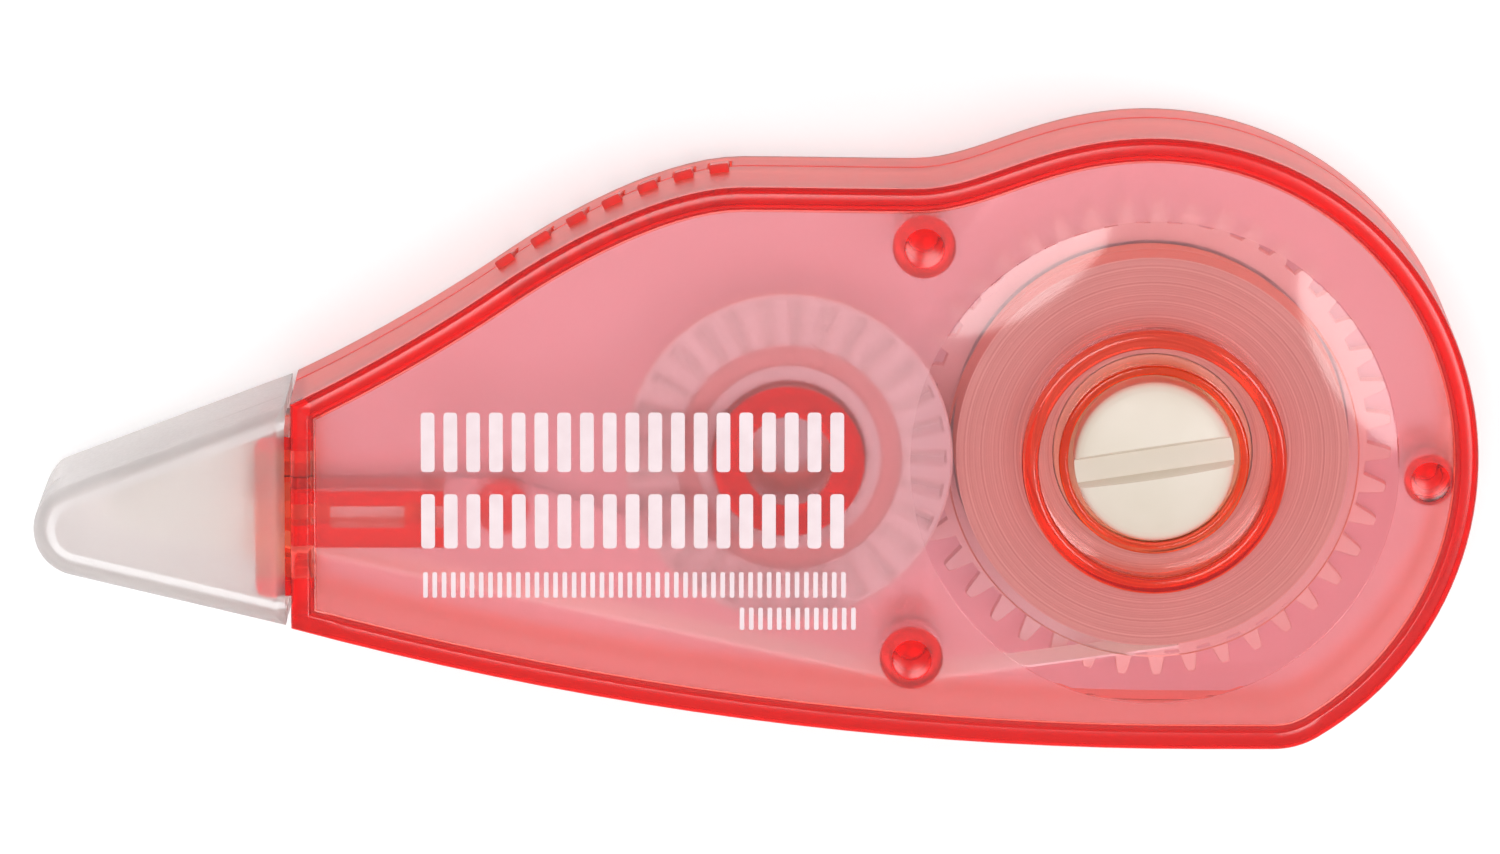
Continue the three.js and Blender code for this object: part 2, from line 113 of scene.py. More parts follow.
# Each pin as x, y, its radius and the outer radius of the tube post that it stands in.
PINS = [(-13.4, 12.6, 1.2, 1.85), (-14.1, -11.6, 1.2, 1.85), (16.0, -1.1, 0.93, 1.5)]
PIN_END = 2.9
POST_TOP = 8.6
DIMPLE_R, DIMPLE_DEPTH = 1.17, 0.07

# The post that the tape runs back over, as x, y, radius and top.
GUIDE_POST = (-38.0, -3.2, 1.6, 9.2)

# The rib box that holds the stem of the head: two long bars by y, and two webs between them by x.
RIB_BARS = [(-2.65, -1.75), (-5.1, -3.9)]
RIB_WEBS = [(-49.3, -47.9), (-43.6, -42.4)]
RIB_ENDS = (-49.8, -41.3)
WEB_ENDS = (-4.9, -1.95)
RIB_FOOT, WEB_FOOT = 4.6, 9.6

# The neck that the cap sits on, its bore, and the nub on its front, each as x0, x1, y0, y1.
NECK = (-52.3, -49.7, -8.0, 1.4)
NECK_BACK, NECK_FRONT = 1.3, 11.7
NECK_BORE = (-53.3, -48.6, -7.0, 0.5)
BORE_LEVELS = (2.4, 10.6)
NUB = (-52.0, -51.2, -4.3, -0.9)

# The finger grips, counted from the nose: their place, half their width, how deep they are set in
# the wall, their ends, how far they stand proud at each end, and the room that is cut round them.
GRIPS = 7
GRIP_X, GRIP_PITCH = -37.7, 2.07
GRIP_HALF, GRIP_DEPTH = 0.575, 0.55
GRIP_LOW, GRIP_HIGH = 2.2, 6.4
PROUD_LOW, PROUD_HIGH = 0.06, 0.5
GRIP_SLACK = 0.15

# The head: the x of its root, its thin edge as x, y and radius, and its stem as x0, x1, y0, y1.
HEAD_X = -52.7
EDGE_X, EDGE_Y, EDGE_R = -60.9, -3.3, 0.3
STEM = (-53.2, -41.9, -3.8, -2.75)

# The reels. A barrel is an inner and an outer radius.
GEAR_MODULE = 0.625
GEAR_THICKNESS = 1.3
SUPPLY_BARREL = (2.26, 3.2)
TAKE_UP_BARREL = (4.46, 5.4)
CLUTCH_R, CLUTCH_Z, CLUTCH_WIRE = 3.7, 5.0, 0.46
CORE_R = 5.8
FLUTES = 29
GROOVE_R = 5.95
SLOT_TURN = math.radians(8.5)

# Edges that turn by more than this are shaded sharp.
SHARP_FROM = math.radians(34)


# ------------------------------------------------------------------ outlines


def arc(x, y, r, start, end, steps):
    angles = [start + (end - start) * i / steps for i in range(steps + 1)]
    return [Vector((x + r * math.cos(a), y + r * math.sin(a))) for a in angles]


def sweep(start, leave, end, arrive, steps):
    """A smooth stretch between two points, with the pull at each end."""
    a, d = Vector(start), Vector(end)
    b, c = a + Vector(leave), d - Vector(arrive)
    points = []
    for i in range(steps + 1):
        t = i / steps
        u = 1 - t
        points.append(u**3 * a + 3 * u * u * t * b + 3 * u * t * t * c + t**3 * d)
    return points


def without_repeats(points):
    return [p for i, p in enumerate(points) if (p - points[i - 1]).length > 1e-3]


def casing_outline():
    """The casing seen from the front, anticlockwise from the lower corner of the nose."""
    run, drop = BELLY.x - NOSE_X, NOSE_BOTTOM - BELLY.y
    belly_r = (run * run + drop * drop) / (2 * drop)
    belly_start = -math.pi / 2 - math.asin(run / belly_r)
    corner_y = BELLY.y + CORNER_R
    reach = math.sqrt((LOBE_R - CORNER_R) ** 2 - (corner_y - LOBE.y) ** 2)
    corner_end = math.atan2(corner_y - LOBE.y, reach)
    lobe_end = math.radians(96)
    crown = LOBE + LOBE_R * Vector((math.cos(lobe_end), math.sin(lobe_end)))
    dip, brow, slope, nose = (-13.8, 16.15), (-24.0, 16.25), (-38.2, 10.4), (NOSE_X, NOSE_TOP)
    return without_repeats(
        arc(BELLY.x, BELLY.y + belly_r, belly_r, belly_start, -math.pi / 2, 18)
        + arc(LOBE.x + reach, corner_y, CORNER_R, -math.pi / 2, corner_end, 8)
        + arc(LOBE.x, LOBE.y, LOBE_R, corner_end, lobe_end, 56)
        + sweep(crown, (-5.2, -0.54), dip, (-3.4, 0), 14)
        + sweep(dip, (-3.4, 0), brow, (-3.4, 0), 10)
        + sweep(brow, (-4.5, 0), slope, (-3.7, -2.55), 14)
        + sweep(slope, (-3.3, -2.27), nose, (-3.6, -1.67), 12)
    )


def inset(points, distance):
    """A closed outline moved inwards, with mitred corners."""
    moved = []
    for i, p in enumerate(points):
        before = (p - points[i - 1]).normalized()
        after = (points[(i + 1) % len(points)] - p).normalized()
        normal = Vector((-before.y - after.y, before.x + after.x)).normalized()
        spread = -normal.x * after.y + normal.y * after.x
        moved.append(p + normal * distance / spread)
    return moved


def belt(circles, step=0.12):
    """The line tangent to circles (x, y, r) in turn; r is positive where it turns anticlockwise."""
    tangents = []
    for (ax, ay, ar), (bx, by, br) in zip(circles, circles[1:]):
        turn = math.asin((br - ar) / math.hypot(bx - ax, by - ay))
        angle = math.atan2(by - ay, bx - ax) - turn
        side = Vector((math.sin(angle), -math.cos(angle)))
        tangents.append((angle, Vector((ax, ay)) + ar * side, Vector((bx, by)) + br * side))
    points = [tangents[0][1]]
    for i, (x, y, r) in enumerate(circles[1:-1]):
        start = tangents[i][0]
        turn = math.remainder(tangents[i + 1][0] - start, 2 * math.pi)
        if r < 0 and turn > 0.01:
            turn -= 2 * math.pi
        steps = math.ceil(abs(turn) / step) if r else 0
        for k in range(steps + 1):
            angle = start + (turn * k / steps if steps else 0)
            points.append(Vector((x + r * math.sin(angle), y - r * math.cos(angle))))
    return without_repeats(points + [tangents[-1][2]])


def rounded(corners, steps=5):
    """Corners (x, y, how much is rounded off) as a closed list of points."""
    points = []
    for i, (x, y, soft) in enumerate(corners):
        p = Vector((x, y))
        if not soft:
            points.append(p)
            continue
        a = Vector(corners[i - 1][:2]) - p
        b = Vector(corners[(i + 1) % len(corners)][:2]) - p
        start, end = p + a.normalized() * soft, p + b.normalized() * soft
        for k in range(steps + 1):
            t = k / steps
            points.append((1 - t) ** 2 * start + 2 * t * (1 - t) * p + t * t * end)
    return points


def rectangle(x0, x1, y0, y1, soft):
    return rounded([(x0, y0, soft), (x1, y0, soft), (x1, y1, soft), (x0, y1, soft)])


# ------------------------------------------------------------------ solids


def solid(vertices, faces, slots=None):
    """A closed body in millimetres, with its faces turned outwards."""
    mesh = bpy.data.meshes.new("body")
    mesh.from_pydata(vertices, [], faces)
    if slots:
        mesh.polygons.foreach_set("material_index", slots)
    work = bmesh.new()
    work.from_mesh(mesh)
    bmesh.ops.recalc_face_normals(work, faces=work.faces)
    work.to_mesh(mesh)
    work.free()
    body = bpy.data.objects.new("body", mesh)
    bpy.context.scene.collection.objects.link(body)
    return body


def loft(rings, slots=None):
    """Outlines of equal length at their heights, skinned and capped. A slot for each skin and cap."""
    count = len(rings[0][0])
    last = (len(rings) - 1) * count
    vertices = [(p.x, p.y, z) for points, z in rings for p in points]
    faces = [range(count)]
    face_slots = [slots[0] if slots else 0]
    for k in range(len(rings) - 1):
        for i in range(count):
            j = (i + 1) % count
            faces.append((k * count + i, k * count + j, (k + 1) * count + j, (k + 1) * count + i))
            face_slots.append(slots[k + 1] if slots else 0)
    faces.append(range(last, last + count))
    face_slots.append(slots[-1] if slots else 0)
    return solid(vertices, faces, face_slots)


def slab(outline, low, high, soft=0.0):
    """An outline pushed up, with its upper and lower edges eased."""
    if not soft:
        return loft([(outline, low), (outline, high)])
    near, nearer = inset(outline, 0.3 * soft), inset(outline, soft)
    return loft(
        [
            (nearer, low),
            (near, low + 0.3 * soft),
            (outline, low + soft),
            (outline, high - soft),
            (near, high - 0.3 * soft),
            (nearer, high),
        ]
    )


def box(x0, x1, y0, y1, z0, z1, soft=0.0):
    return slab(rectangle(x0, x1, y0, y1, soft), z0, z1, soft)


def lathe(profile, x=0.0, y=0.0, segments=128, rise=None):
    """A closed (radius, z) profile turned about the vertical through (x, y).

    A profile that starts on the axis ends on it too. rise(r, z, angle) is added to a point's z.
    """
    profile = [Vector(p) for p in profile]
    poles = profile[0].x < 1e-6
    vertices, faces = [], []
    for r, z in profile:
        for j in range(segments):
            a = 2 * math.pi * j / segments
            height = z + rise(r, z, a) if rise else z
            vertices.append((x + r * math.cos(a), y + r * math.sin(a), height))
    rows = len(profile) - 1 if poles else len(profile)
    for i in range(rows):
        k = (i + 1) % len(profile)
        for j in range(segments):
            n = (j + 1) % segments
            quad = [i * segments + j, i * segments + n, k * segments + n, k * segments + j]
            if poles and i == 0:
                quad = [0, quad[2], quad[3]]
            elif poles and i == rows - 1:
                quad = [quad[0], quad[1], k * segments]
            faces.append(quad)
    body = solid(vertices, faces)
    if poles:
        work = bmesh.new()
        work.from_mesh(body.data)
        loose = [v for v in work.verts if not v.link_faces]
        bmesh.ops.delete(work, geom=loose, context="VERTS")
        work.to_mesh(body.data)
        work.free()
    return body


def disc(r, low, high, x=0.0, y=0.0, soft=0.0, segments=48):
    corners = [(0, low, 0), (r, low, soft), (r, high, soft), (0, high, 0)]
    return lathe(rounded(corners, 3), x, y, segments)


def painted(body, paints, slot=None):
    """Gives a body its materials, and where a slot is named, puts every face in it."""
    if len(body.data.materials):
        body.data.materials.clear()
    for paint in paints:
        body.data.materials.append(paint)
    if slot is not None:
        body.data.polygons.foreach_set("material_index", [slot] * len(body.data.polygons))
    return body


def combine(body, operation, tools):
    """Joins the tools to the body, or cuts them out of it, and removes them."""
    for tool in tools:
        step = body.modifiers.new("step", "BOOLEAN")
        step.operation = operation
        step.solver = "MANIFOLD"
        step.object = tool
        bpy.context.view_layer.update()
        depsgraph = bpy.context.evaluated_depsgraph_get()
        made = bpy.data.meshes.new_from_object(body.evaluated_get(depsgraph))
        body.modifiers.clear()
        body.data = made
        bpy.data.objects.remove(tool)
    return body


def finish(body, name, rides_on, stands_for=(), axis=SUPPLY, bevel=0.0):
    """Turns a body in millimetres about an axis into a named piece in the frame."""
    for vertex in body.data.vertices:
        vertex.co *= MM
    body.name = name
    body.location = axis
    if bevel:
        edge = body.modifiers.new("edges", "BEVEL")
        edge.width = bevel * MM
        edge.segments = 3
        edge.limit_method = "ANGLE"
        edge.angle_limit = math.radians(35)
    body.data.shade_smooth()
    body.data.set_sharp_from_angle(angle=SHARP_FROM)
    weights = body.modifiers.new("shading", "WEIGHTED_NORMAL")
    weights.keep_sharp = True
    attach(body, rides_on)
    if stands_for:
        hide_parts(*stands_for)
    return body


# ------------------------------------------------------------------ materials


class Paint:
    """A Principled material whose parts are added one by one."""

    # Most of a noise's values lie between these.
    NOISE_LOW, NOISE_HIGH = 0.3, 0.7

    def __init__(self, name, **sockets):
        self.material = bpy.data.materials.new(name)
        self.material.use_nodes = True
        self.nodes = self.material.node_tree.nodes
        self.shader = self.nodes["Principled BSDF"]
        self.output = self.nodes["Material Output"]
        for socket, value in sockets.items():
            self.shader.inputs[socket.replace("_", " ")].default_value = value
        self.place = self.nodes.new("ShaderNodeTexCoord").outputs["Object"]

    def link(self, start, end):
        self.material.node_tree.links.new(start, end)

    def noise(self, scale):
        node = self.nodes.new("ShaderNodeTexNoise")
        node.inputs["Scale"].default_value = scale
        node.inputs["Detail"].default_value = 3.0
        self.link(self.place, node.inputs["Vector"])
        return node.outputs["Fac"]

    def math(self, operation, *values):
        node = self.nodes.new("ShaderNodeMath")
        node.operation = operation
        for socket, value in zip(node.inputs, values):
            if isinstance(value, (int, float)):
                socket.default_value = value
            else:
                self.link(value, socket)
        return node.outputs[0]

    def from_axis(self):
        """How far a point is from the vertical through the piece's own origin."""
        node = self.nodes.new("ShaderNodeSeparateXYZ")
        self.link(self.place, node.inputs[0])
        x, y = node.outputs["X"], node.outputs["Y"]
        squares = self.math("ADD", self.math("MULTIPLY", x, x), self.math("MULTIPLY", y, y))
        return self.math("SQRT", squares)

    def face_value(self, name):
        """A number that each face of the mesh carries."""
        node = self.nodes.new("ShaderNodeAttribute")
        node.attribute_name = name
        return node.outputs["Fac"]

    def colours(self, value, low, high, start=NOISE_LOW, end=NOISE_HIGH):
        """Base Color goes from low to high as the value goes from start to end."""
        node = self.nodes.new("ShaderNodeValToRGB")
        for stop, colour, place in zip(node.color_ramp.elements, (low, high), (start, end)):
            stop.color = (*colour, 1.0)
            stop.position = place
        self.link(value, node.inputs[0])
        self.link(node.outputs[0], self.shader.inputs["Base Color"])

    def gloss(self, value, low, high):
        """Roughness goes from low to high with a noise."""
        node = self.nodes.new("ShaderNodeMapRange")
        node.inputs["From Min"].default_value = self.NOISE_LOW
        node.inputs["From Max"].default_value = self.NOISE_HIGH
        node.inputs["To Min"].default_value = low
        node.inputs["To Max"].default_value = high
        self.link(value, node.inputs["Value"])
        self.link(node.outputs[0], self.shader.inputs["Roughness"])

    def bump(self, value, height):
        """Relief of a height in millimetres."""
        node = self.nodes.new("ShaderNodeBump")
        node.inputs["Strength"].default_value = 1.0
        node.inputs["Distance"].default_value = height * MM
        self.link(value, node.inputs["Height"])
        self.link(node.outputs[0], self.shader.inputs["Normal"])
        return self

    def absorb(self, colour, density):
        """Colour that deepens with the thickness that light passes, by a density per metre."""
        node = self.nodes.new("ShaderNodeVolumeAbsorption")
        node.inputs["Color"].default_value = (*colour, 1.0)
        node.inputs["Density"].default_value = density
        self.link(node.outputs[0], self.output.inputs["Volume"])
        return self


def red_plastic():
    """Clear red styrene. Most of its colour is in its depth. Each face has its own finish and tint; thick
    parts' deeper tint is partly painted glow.
    """
    paint = Paint("red_plastic", Transmission_Weight=1.0, IOR=1.43)
    cloud = paint.math("MULTIPLY_ADD", paint.noise(90), 0.08, -0.04)
    # Painted glow: thick parts and edges take a deeper red, partly for their thick plastic, partly for
    # light piped along them.
    tint = paint.math("ADD", paint.face_value("tint"), cloud)
    paint.colours(tint, PALE_TINT, DEEP_AND_GLOW_TINT, 0.0, 1.0)
    rough = paint.face_value("finish")
    mottle = paint.math("MULTIPLY_ADD", paint.noise(1500), 0.16, 0.92)
    paint.link(paint.math("MULTIPLY", rough, mottle), paint.shader.inputs["Roughness"])
    paint.bump(paint.math("MULTIPLY", paint.noise(5000), rough), 0.003)
    return paint.absorb((1.0, 0.13, 0.21), 375).material


def moulded(name, low, high, roughness, grain=900, height=0.004, **sockets):
    """Moulded plastic with a slight mottle and a fine skin."""
    paint = Paint(name, **sockets)
    paint.colours(paint.noise(grain / 4), low, high)
    paint.gloss(paint.noise(grain), roughness - 0.04, roughness + 0.05)
    return paint.bump(paint.noise(grain * 2), height).material


# The red shells are cut and joined with a slot for each kind of face. Each slot is then turned into
# two face values: how rough the face is, and how much of the deeper tint of thick parts it has. That
# deeper tint is partly the colour of thick plastic and partly painted glow of light piped along them.
FROSTED, RIM_EDGE, SATIN, POLISHED, DEEP, INNER_WALL = range(6)
ROUGHNESS = (0.29, 0.15, 0.36, 0.03, 0.06, 0.04)
DEPTH_AND_GLOW = (0.04, 0.72, 0.74, 0.04, 0.96, 0.6)
PALE_TINT, DEEP_AND_GLOW_TINT = (0.89, 0.97, 1.0), (1.0, 0.20, 0.01)
RED_PLASTIC = red_plastic()
RED = [RED_PLASTIC] * len(ROUGHNESS)


def cap_plastic():
    """Clear plastic with a fine frosted skin."""
    paint = Paint("cap_frosted", Transmission_Weight=0.92, IOR=1.36)
    paint.colours(paint.noise(200), (0.88, 0.845, 0.84), (0.94, 0.91, 0.90))
    paint.gloss(paint.noise(4000), 0.34, 0.41)
    paint.bump(paint.noise(5000), 0.002)
    return paint.absorb((0.80, 0.72, 0.68), 20).material


def wound_tape(name, low, high, pitch):
    """The edge of a wound roll: fine rings where the layers lie a little high or low."""
    paint = Paint(name, IOR=1.45)
    rings = paint.nodes.new("ShaderNodeTexNoise")
    rings.noise_dimensions = "1D"
    rings.inputs["Scale"].default_value = 1.0 / (pitch * MM)
    rings.inputs["Detail"].default_value = 4.0
    paint.link(paint.from_axis(), rings.inputs["W"])
    paint.colours(rings.outputs["Fac"], low, high, 0.32, 0.68)
    paint.gloss(paint.noise(1500), 0.42, 0.58)
    return paint.bump(rings.outputs["Fac"], 0.012).material


def clear_plastic(name, tint, roughness):
    """Smooth clear film or sheet, thin enough to bend light little."""
    paint = Paint(name, Transmission_Weight=1.0, IOR=1.3)
    paint.colours(paint.noise(150), [c * 0.97 for c in tint], tint)
    paint.gloss(paint.noise(700), roughness, roughness + 0.04)
    return paint.bump(paint.noise(600), 0.001).material


def fluted_plastic():
    """Milky plastic, darker and redder in a ring round the thin groove."""
    paint = Paint("flange_milky", Transmission_Weight=0.2)
    away = paint.math("ABSOLUTE", paint.math("SUBTRACT", paint.from_axis(), GROOVE_R * MM))
    paint.colours(paint.math("DIVIDE", away, MM), (0.97, 0.52, 0.48), (0.99, 0.93, 0.90), 0.45, 0.65)
    paint.gloss(paint.noise(900), 0.36, 0.45)
    return paint.bump(paint.noise(1800), 0.004).material


def floor_card():
    """A white light table: pale, with a faint even glow of its own."""
    paint = Paint("floor_card", Emission_Color=(1.0, 0.995, 0.99, 1.0), Emission_Strength=0.30)
    paint.colours(paint.noise(40), (0.83, 0.83, 0.83), (0.86, 0.86, 0.86))
    paint.gloss(paint.noise(600), 0.7, 0.8)
    return paint.bump(paint.noise(900), 0.005).material


CAP = cap_plastic()
HEAD = moulded("head_white", (0.80, 0.77, 0.72), (0.86, 0.83, 0.79), 0.42)
GEAR = moulded("gear_natural", (0.95, 0.92, 0.92), (0.99, 0.97, 0.97), 0.45)
CORE = moulded("core_amber", (0.90, 0.68, 0.42), (0.96, 0.78, 0.52), 0.3)
RUBBER = moulded("clutch_rubber", (0.02, 0.02, 0.02), (0.035, 0.035, 0.035), 0.7, 1500, 0.01)
KNOB = moulded("knob_ivory", (0.70, 0.61, 0.50), (0.75, 0.66, 0.56), 0.33)
INK = moulded("print_white", (0.84, 0.68, 0.70), (0.90, 0.75, 0.77), 0.55, 4000, 0.002)
TAPE = wound_tape("tape_edge", (0.76, 0.50, 0.40), (0.97, 0.76, 0.64), 0.11)
PACK = wound_tape("liner_edge", (0.62, 0.42, 0.40), (0.75, 0.58, 0.55), 0.15)
# Painted glow: the running tape gives off a faint light of its own, standing in for light through the thin
# tape and lifting it out of its shade.
PAINTED_TAPE_GLOW = {"Emission_Color": (1.0, 0.86, 0.80, 1.0), "Emission_Strength": 0.25}
RIBBON = moulded("tape_white", (0.95, 0.93, 0.91), (0.98, 0.97, 0.96), 0.5, 600, **PAINTED_TAPE_GLOW)
LINER = clear_plastic("liner_film", (0.97, 0.95, 0.92), 0.12)
CLEAR = clear_plastic("flange_clear", (0.99, 0.98, 0.98), 0.03)
MILKY = fluted_plastic()


# ------------------------------------------------------------------ casing

# How far in and how far below the face each line of the rim lies, from the panel outwards.
RIM = [(1.5, RIM_RISE), (1.36, 0.26), (1.26, 0.14), (1.14, 0.04), (0.98, 0.0), (0.45, 0.0), (0.2, 0.05)]
RIM += [(0.05, 0.18), (0.0, 0.4)]


def half_shell(outline, face, seam, ceiling, up, step=1.0):
    """A panel in a rounded rim, with its side wall down to the seam.

    up is 1 for the front and -1 for the back, and step scales the height of the rim.
    """
    ease_in, ease_up, fillet = 0.12, 0.14, 0.3
    rings = [(inset(outline, away), face - up * step * drop) for away, drop in RIM]
    rings += [(outline, seam + up * ease_up), (inset(outline, ease_in), seam)]
    rings += [(inset(outline, WALL), seam), (inset(outline, WALL), ceiling - up * fillet)]
    rings += [(inset(outline, WALL + 0.05), ceiling - up * 0.1)]
    rings += [(inset(outline, WALL + fillet), ceiling)]
    slots = [FROSTED] + [RIM_EDGE] * (len(RIM) - 1) + [SATIN] * 3 + [INNER_WALL] * 2 + [POLISHED] * 2
    return painted(loft(rings, slots), RED)


def tools(paint_slot, *bodies):
    """Bodies to join to a shell or cut out of it, with the kind of face that they bring."""
    return [painted(body, RED, paint_slot) for body in bodies]


def one_plastic(shell):
    """Each face's slot becomes its finish and its tint, partly painted glow, and the whole shell one
    material.
    """
    slots = [face.material_index for face in shell.data.polygons]
    for name, scale in (("finish", ROUGHNESS), ("tint", DEPTH_AND_GLOW)):
        values = shell.data.attributes.new(name, "FLOAT", "FACE")
        values.data.foreach_set("value", [scale[slot] for slot in slots])
    return painted(shell, [RED_PLASTIC])


def dome(r):
    """Height of the polished window's face at a distance from its centre."""
    low = PANEL_Z - WINDOW_STEP
    full = WINDOW_R**2 - HUB_R**2
    return low + WINDOW_RISE * (WINDOW_R**2 - r * r) / full


def window():
    """The polished window, with its underside sunk into the panel."""
    reach, steps = WINDOW_R - 0.1, 14
    under = CEILING_Z + 0.4
    face = [(reach * k / steps, dome(reach * k / steps)) for k in range(steps, -1, -1)]
    return lathe([(0, under), (reach, under)] + face, segments=192)


def hub_ring():
    inner, outer = HUB_INNER_R, HUB_R
    corners = [(inner, HUB_FOOT, 0), (outer, HUB_FOOT, 0.3), (outer, HUB_TOP, 0.25), (inner, HUB_TOP, 0.3)]
    return lathe(rounded(corners), segments=160)


def hub_collar():
    """The low wall round the knob, on the inner edge of the ledge."""
    corners = [(COLLAR_R, HUB_FOOT, 0), (COLLAR_OUTER_R, HUB_FOOT, 0)]
    corners += [(COLLAR_OUTER_R, COLLAR_TOP, 0.15), (COLLAR_R, COLLAR_TOP, 0.15)]
    return lathe(rounded(corners), segments=128)


def dimple(x, y):
    """A shallow hollow in the panel over a pin, as a body to cut away."""
    steps = [k / 8 for k in range(9)]
    bowl = [(DIMPLE_R * t, PANEL_Z - DIMPLE_DEPTH * (1 - t * t)) for t in steps]
    return lathe(bowl + [(DIMPLE_R, FRONT + 1), (0, FRONT + 1)], x, y, 48)


def hub_ledge():
    """The ring's inward ledge, in front of the core."""
    reach = HUB_R - 0.5
    corners = [(LEDGE_R, HUB_FOOT, 0.12), (reach, HUB_FOOT, 0)]
    corners += [(reach, LEDGE_TOP, 0), (LEDGE_R, LEDGE_TOP, 0.2)]
    return lathe(rounded(corners), segments=160)


def neck(low, high):
    """One shell's part of the neck, between two levels."""
    return slab(rectangle(*NECK, 0.8), low, high)


def neck_bore():
    return box(*NECK_BORE, *BORE_LEVELS)


def grip(outline, index, slack):
    """One finger grip across the upper side wall: a bar that stands proud of it towards the front.

    slack makes it larger all round, to cut the room for it out of the other shell.
    """
    x = GRIP_X + GRIP_PITCH * index
    top = [p for p in outline if p.y > 0]
    at = next(i for i in range(1, len(top)) if top[i].x <= x < top[i - 1].x)
    a, b = top[at - 1], top[at]
    along = (b - a).normalized()
    out = Vector((along.y, -along.x))
    centre = a.lerp(b, (x - a.x) / (b.x - a.x))
    half, inner = GRIP_HALF + slack, -GRIP_DEPTH - slack
    rings = []
    for proud, z in ((PROUD_LOW, GRIP_LOW - slack), (PROUD_HIGH, GRIP_HIGH + slack)):
        ends = [(half, inner, 0), (-half, inner, 0), (-half, proud, 0.15), (half, proud, 0.15)]
        points = [centre + along * s + out * n for s, n in rounded(ends, 3)]
        rings.append((points[::-1], z))
    return loft(rings)


def take_up_tube():
    """The bearing of the take-up reel, which hangs from the front panel."""
    inner, outer, foot = TAKE_UP_TUBE
    root = CEILING_Z + SUNK
    corners = [(inner, foot, 0.1), (outer, foot, 0.1), (outer, root, 0), (inner, root, 0)]
    return lathe(rounded(corners), TAKE_UP_X, 0.0, 96)


def standing_tube(measures, low, soft, x, segments):
    """A tube that stands on the back panel, from inner radius, outer radius and top."""
    inner, outer, top = measures
    corners = [(inner, low, 0), (outer, low, 0), (outer, top, soft), (inner, top, soft)]
    return lathe(rounded(corners), x, 0.0, segments)


def front_shell(outline):
    """The front shell with its window, hub well, take-up tube, neck, pins, ribs and grips."""
    root = CEILING_Z + SUNK
    shell = half_shell(outline, FRONT, SEAM_FRONT, CEILING_Z, 1)
    recess = disc(WINDOW_R, PANEL_Z - WINDOW_STEP, FRONT + 1, segments=192)
    combine(shell, "DIFFERENCE", tools(POLISHED, recess))
    combine(shell, "UNION", tools(POLISHED, window()))
    opening = disc(HUB_R - 0.4, 9.0, FRONT + 1, segments=96)
    combine(shell, "DIFFERENCE", tools(POLISHED, opening))
    combine(shell, "UNION", tools(POLISHED, hub_ledge()))
    combine(shell, "UNION", tools(DEEP, hub_ring(), hub_collar(), take_up_tube()))
    nub = slab(rectangle(*NUB, 0.38), NECK_FRONT - 0.2, NECK_FRONT + 0.25, 0.1)
    combine(shell, "UNION", tools(DEEP, neck(SEAM_FRONT, NECK_FRONT)))
    combine(shell, "UNION", tools(DEEP, nub))
    combine(shell, "DIFFERENCE", tools(INNER_WALL, neck_bore()))
    pins = [disc(pin, PIN_END, root, x, y, 0.25) for x, y, pin, _ in PINS]
    pins += [disc(outer, POST_TOP + 0.2, root, x, y, 0.2) for x, y, _, outer in PINS]
    ribs = [box(*RIB_ENDS, low, high, RIB_FOOT, root) for low, high in RIB_BARS]
    webs = [box(left, right, *WEB_ENDS, WEB_FOOT, root) for left, right in RIB_WEBS]
    combine(shell, "UNION", tools(DEEP, *pins, *ribs, *webs))
    combine(shell, "UNION", tools(SATIN, *[grip(outline, i, 0.0) for i in range(GRIPS)]))
    # The dimples take the rim's deeper tint, partly painted glow over the pins.
    combine(shell, "DIFFERENCE", tools(RIM_EDGE, *[dimple(x, y) for x, y, _, _ in PINS]))
    return finish(one_plastic(shell), "front_shell", "casing", ["front_casing"])


def back_shell(outline):
    """The back shell with its spindle, stub, tube posts and guide post."""
    root = FLOOR_Z - SUNK
    shell = half_shell(outline, 0.0, SEAM_BACK, FLOOR_Z, -1, step=0.5)
    combine(shell, "DIFFERENCE", tools(SATIN, *[grip(outline, i, GRIP_SLACK) for i in range(GRIPS)]))
    combine(shell, "UNION", tools(DEEP, neck(NECK_BACK, SEAM_BACK)))
    combine(shell, "DIFFERENCE", tools(INNER_WALL, neck_bore()))
    posts = [disc(outer, root, POST_TOP, x, y, 0.2) for x, y, _, outer in PINS]
    x, y, r, top = GUIDE_POST
    posts.append(disc(r, root, top, x, y, 0.3))
    posts.append(standing_tube(SPINDLE, root, 0.2, 0.0, 128))
    combine(shell, "UNION", tools(DEEP, *posts))
    combine(shell, "UNION", tools(DEEP, standing_tube(TAKE_UP_STUB, root, 0.15, TAKE_UP_X, 64)))
    recess = disc(TAKE_UP_STUB[0], -1.0, 0.9, TAKE_UP_X, 0.0)
    combine(shell, "DIFFERENCE", tools(POLISHED, recess))
    holes = [disc(pin + 0.07, FLOOR_Z + 1, POST_TOP + 1, x, y) for x, y, pin, _ in PINS]
    combine(shell, "DIFFERENCE", tools(DEEP, *holes))
    return finish(one_plastic(shell), "back_shell", "casing", ["back_casing"])


# ------------------------------------------------------------------ cap and head

# The cap's rounded tip as x, y and radius, and the smaller one that its back half adds.
CAP_TIP = (-62.45, -4.0, 2.75)
CAP_BACK_TIP = (-63.6, -2.55, 0.95)
CAP_LEDGE = 8.4


def cap_outline(tips):
    return belt([(-50.5, 3.38, 0), *tips, (-50.5, -9.68, 0)])


